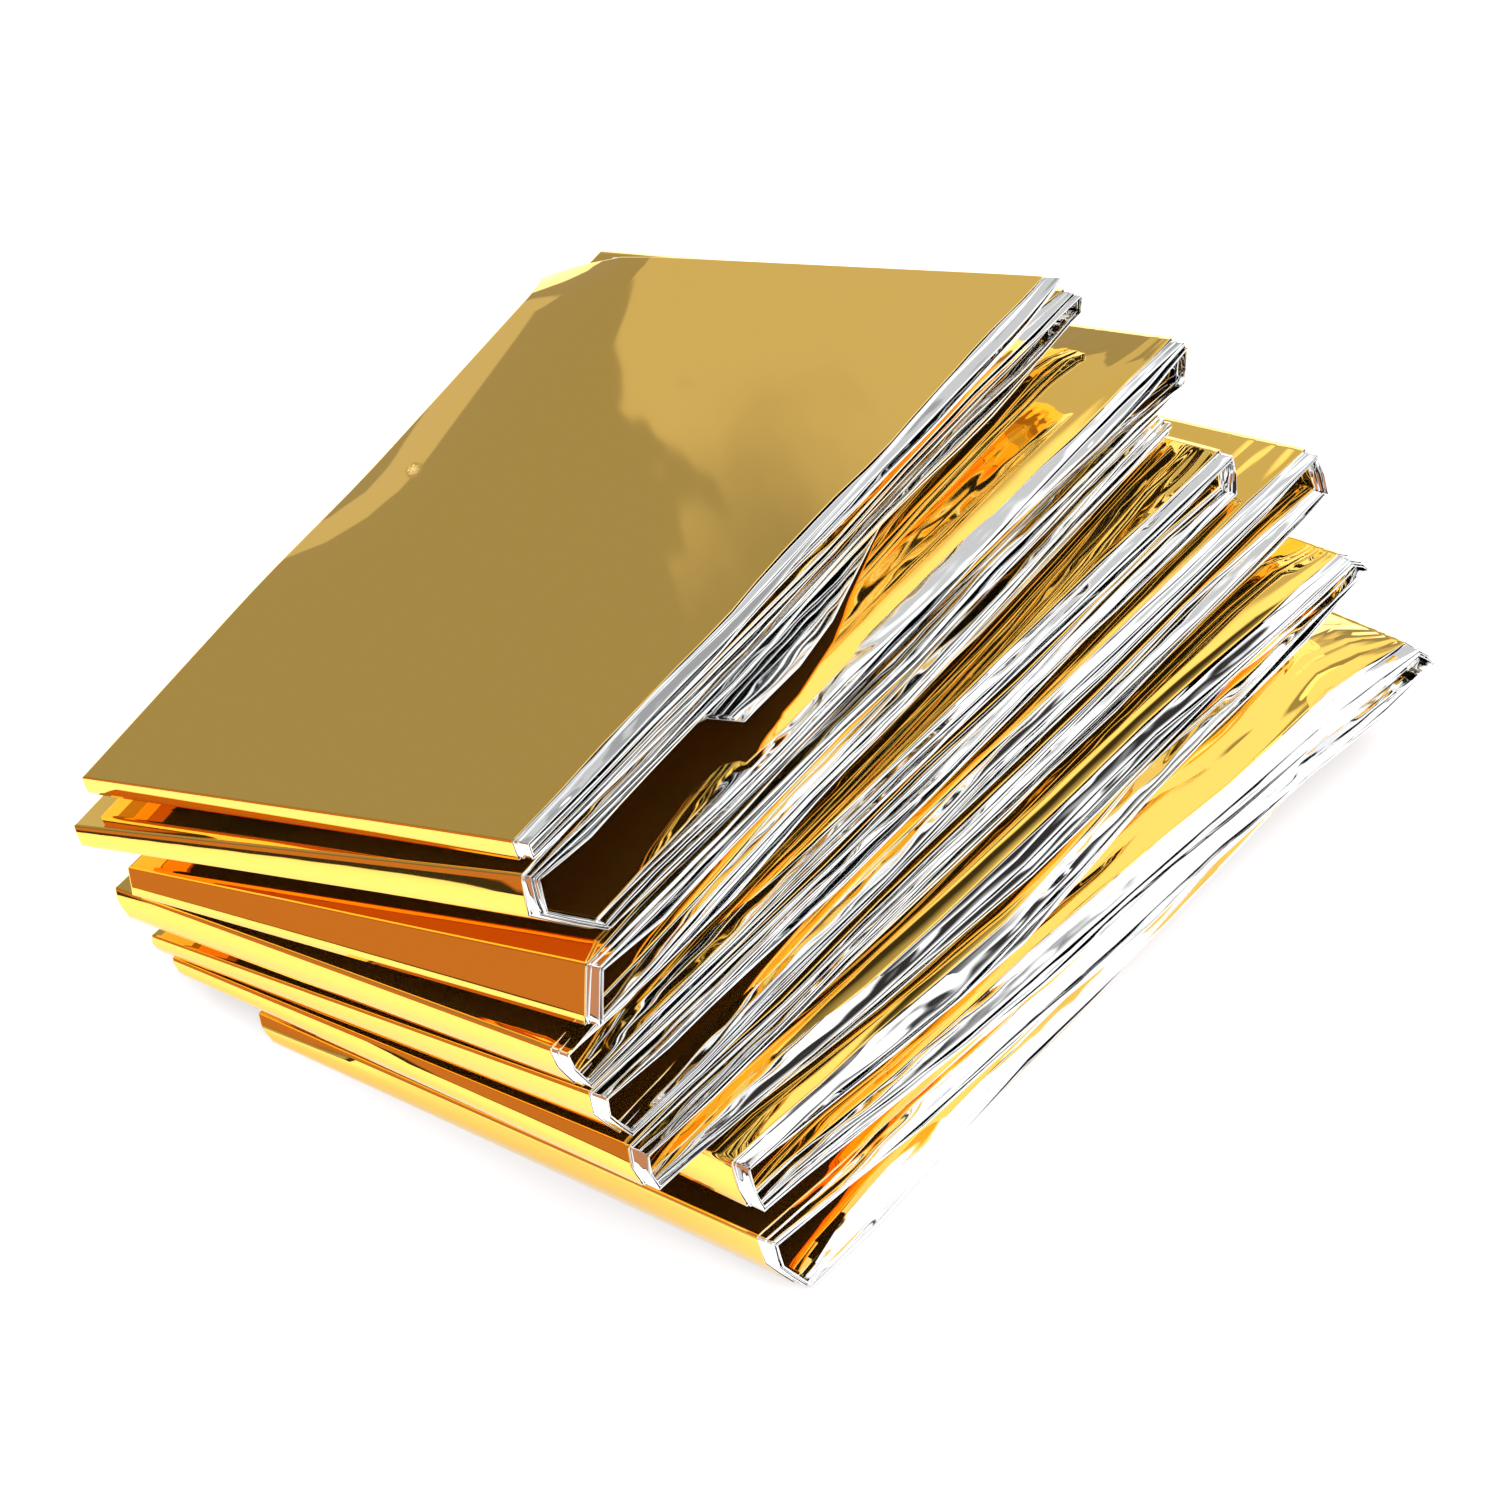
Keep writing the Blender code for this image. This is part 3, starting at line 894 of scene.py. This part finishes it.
def add_camera():
    bpy.ops.object.camera_add()
    camera = bpy.context.object
    camera.name = camera.data.name = "camera"
    camera.data.lens = CAMERA_LENS
    camera.data.sensor_width = CAMERA_SENSOR
    turn, rise = math.radians(CAMERA_TURN), math.radians(CAMERA_RISE)
    toward = Vector((math.sin(turn) * math.cos(rise), -math.cos(turn) * math.cos(rise), math.sin(rise)))
    camera.location = Vector(CAMERA_TARGET) + toward * CAMERA_DISTANCE
    camera.rotation_euler = (-toward).to_track_quat("-Z", "Y").to_euler()
    bpy.context.scene.camera = camera


class FoilBlanketSizes(bpy.types.PropertyGroup):
    """Sizes and colours of the foil blanket"""

    sheet_width: bpy.props.FloatProperty(
        name="Sheet width", description="Width of the flat sheet, across its pleats",
        default=SHEET_WIDTH * MM, min=1.3, max=1.6, unit="LENGTH")
    sheet_length: bpy.props.FloatProperty(
        name="Sheet length", description="Length of the flat sheet, along its pleats",
        default=SHEET_LENGTH * MM, min=1.9, max=2.4, unit="LENGTH")
    film_thickness: bpy.props.FloatProperty(
        name="Film thickness", description="Thickness of the film, its crinkles included",
        default=FILM_THICKNESS * MM, min=0.00001, max=0.00004, precision=6, unit="LENGTH")
    pleat_spread: bpy.props.FloatProperty(
        name="Pleat spread", description="How thick the pleats stand on a panel's open side",
        default=PLEAT_SPREAD * MM, min=0.0015, max=0.006, precision=4, unit="LENGTH")
    gold: bpy.props.FloatVectorProperty(
        name="Gold face", description="Colour of the metal on the outer face",
        default=GOLD, min=0.0, max=1.0, subtype="COLOR")
    silver: bpy.props.FloatVectorProperty(
        name="Silver face", description="Colour of the metal on the inner face",
        default=SILVER, min=0.0, max=1.0, subtype="COLOR")

    def panel_width(self):
        """The width of a panel in millimetres, less the turn of a pleat."""
        return self.sheet_width / MM / PLIES - PLEAT_TURN


class FoilStudioSettings(bpy.types.PropertyGroup):
    """Floor and light of the studio"""

    paper: bpy.props.FloatVectorProperty(
        name="Floor paper", description="Colour of the floor",
        default=FLOOR_PAPER, min=0.0, max=1.0, subtype="COLOR")
    softbox_power: bpy.props.FloatProperty(
        name="Softbox power", description="Power of the softbox over the floor",
        default=SOFTBOX_POWER, min=0.0, unit="POWER")


class FOIL_OT_add_film(bpy.types.Operator):
    """Add the pleated and folded film"""

    bl_idname = "foil_blanket.add_film"
    bl_label = "Add folded film"

    def execute(self, context):
        sizes = context.scene.foil_blanket_sizes
        film = film_object("foil_film", sizes)
        if 4 * len(film.data.polygons) > TRIANGLE_LIMIT:
            raise RuntimeError("the film has more faces than one piece may have")
        film.data.materials.append(film_material("gold_face", sizes.gold, **GOLD_FINISH))
        film.data.materials.append(film_material("silver_face", sizes.silver, **SILVER_FINISH))
        shell = film.modifiers.new("film_thickness", "SOLIDIFY")
        shell.thickness = sizes.film_thickness
        shell.offset = -1.0
        shell.material_offset = 1
        shell.material_offset_rim = 1
        film.visible_diffuse = False
        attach(film, "root")
        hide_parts("foil_blanket")
        return {"FINISHED"}


class FOIL_OT_add_studio(bpy.types.Operator):
    """Add the floor, the lights and the camera"""

    bl_idname = "foil_blanket.add_studio"
    bl_label = "Add studio"

    def execute(self, context):
        settings = context.scene.foil_studio_settings
        add_floor(settings.paper)
        add_lights(settings.softbox_power)
        add_camera()
        context.scene.view_settings.view_transform = "Standard"
        return {"FINISHED"}


class FOIL_PT_blanket(bpy.types.Panel):
    """Sizes, colours and steps of the foil blanket"""

    bl_idname = "FOIL_PT_blanket"
    bl_label = "Foil blanket"
    bl_space_type = "VIEW_3D"
    bl_region_type = "UI"
    bl_category = "Foil blanket"

    def draw(self, context):
        film_names = ("sheet_width", "sheet_length", "film_thickness", "pleat_spread", "gold", "silver")
        for group, names, operator in (
            (context.scene.foil_blanket_sizes, film_names, FOIL_OT_add_film),
            (context.scene.foil_studio_settings, ("paper", "softbox_power"), FOIL_OT_add_studio),
        ):
            box = self.layout.box()
            for name in names:
                box.prop(group, name)
            box.operator(operator.bl_idname)


CLASSES = (FoilBlanketSizes, FoilStudioSettings, FOIL_OT_add_film, FOIL_OT_add_studio, FOIL_PT_blanket)


def register():
    for cls in CLASSES:
        bpy.utils.register_class(cls)
    bpy.types.Scene.foil_blanket_sizes = bpy.props.PointerProperty(type=FoilBlanketSizes)
    bpy.types.Scene.foil_studio_settings = bpy.props.PointerProperty(type=FoilStudioSettings)


def unregister():
    del bpy.types.Scene.foil_studio_settings
    del bpy.types.Scene.foil_blanket_sizes
    for cls in reversed(CLASSES):
        bpy.utils.unregister_class(cls)


def main():
    register()
    bpy.ops.foil_blanket.add_film()
    bpy.ops.foil_blanket.add_studio()


if __name__ == "__main__":
    main()
